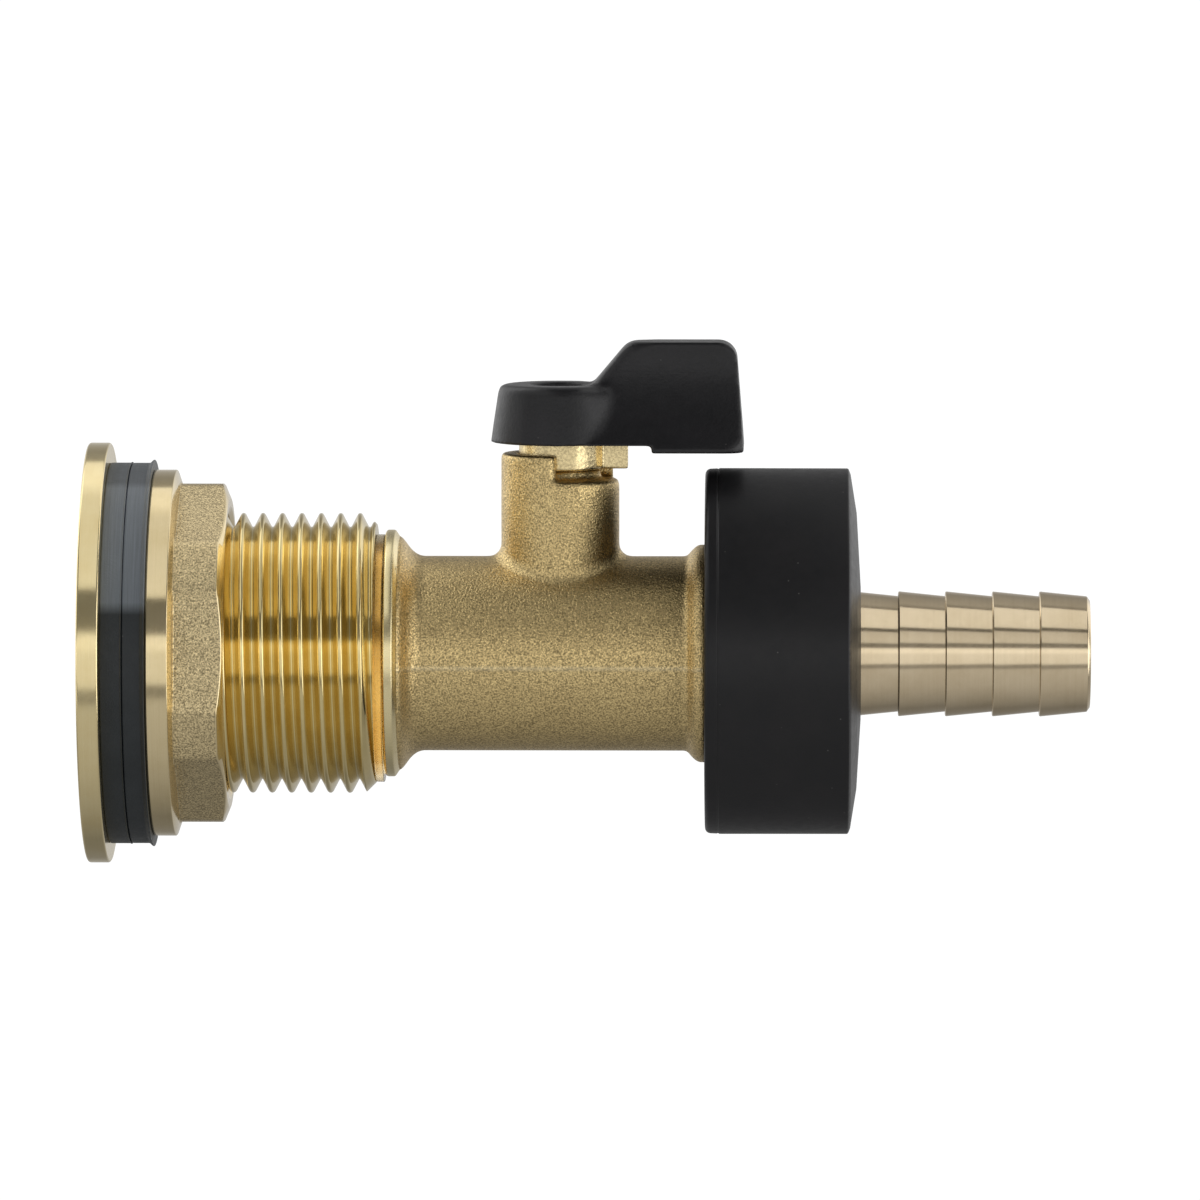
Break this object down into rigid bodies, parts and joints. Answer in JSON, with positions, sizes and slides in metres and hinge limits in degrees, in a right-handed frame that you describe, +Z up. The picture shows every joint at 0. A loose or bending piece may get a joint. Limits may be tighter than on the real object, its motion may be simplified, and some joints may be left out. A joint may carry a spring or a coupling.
{
  "type": "water butt tap",
  "caption": "Brass lever ball tap on a clamped tank connector, with a black union nut and a barbed hosetail, for draining a water butt.",
  "frame": {"origin": "on the waterway's axis, in the plane where the two rubber washers meet, which is where the butt's wall is clamped", "axes": "+X along the waterway from inside the butt to the hose, +Z up through the handle's stem"},
  "size_m": [0.1188, 0.0498, 0.0621],
  "materials": {
    "turned_brass": "turned, satin",
    "cast_brass": "blasted casting",
    "pale_brass": "fine turned",
    "chrome": "polished",
    "steel": "zinc plated",
    "rubber": "matt",
    "nylon": "translucent",
    "seat_plastic": "waxy white",
    "black_plastic": "fine grained satin"
  },
  "bodies": {
    "tap": {"tank_connector": "turned_brass", "inner_washer": "rubber", "seal_ring": "nylon", "tap_body": "cast_brass", "inlet_seat": "seat_plastic", "outlet_seat": "seat_plastic", "seat_retainer": "turned_brass"},
    "spindle": {"ball": "chrome", "stem": "turned_brass", "stem_thrust_washer": "seat_plastic", "stem_o_ring_lower": "rubber", "stem_o_ring_upper": "rubber", "stop_plate": "cast_brass", "handle": "black_plastic", "handle_screw": "steel", "screw_washer": "steel"},
    "clamp_washer": {"outer_washer": "rubber"},
    "backnut": {"backnut": "cast_brass"},
    "tail_washer": {"hosetail_washer": "rubber"},
    "union_nut": {"union_nut": "black_plastic"},
    "hosetail": {"hosetail": "pale_brass"}
  },
  "joints": [
    {"name": "handle_turn", "type": "hinge", "parent": "tap", "child": "spindle", "pos_m": [0.0508, 0, 0], "axis": [0, 0, 1], "range_deg": [-90, 0]},
    {"name": "washer_slide", "type": "slide", "parent": "tap", "child": "clamp_washer", "axis": [1, 0, 0], "range_m": [0, 0.01386]},
    {"name": "backnut_turn", "type": "hinge", "parent": "clamp_washer", "child": "backnut", "pos_m": [0.004, 0, 0], "axis": [1, 0, 0], "range_deg": [0, 2160]},
    {"name": "tail_slide", "type": "slide", "parent": "tap", "child": "tail_washer", "axis": [1, 0, 0], "range_m": [0, 0.0091]},
    {"name": "union_nut_turn", "type": "hinge", "parent": "tail_washer", "child": "union_nut", "pos_m": [0.076, 0, 0], "axis": [1, 0, 0], "range_deg": [0, 1800]},
    {"name": "hosetail_swivel", "type": "hinge", "parent": "tail_washer", "child": "hosetail", "pos_m": [0.09, 0, 0], "axis": [1, 0, 0], "continuous": true}
  ],
  "couplings": [
    {"joint": "washer_slide", "follows": "backnut_turn", "m_per_rad": 0.00036749},
    {"joint": "tail_slide", "follows": "union_nut_turn", "m_per_rad": 0.00028871}
  ]
}
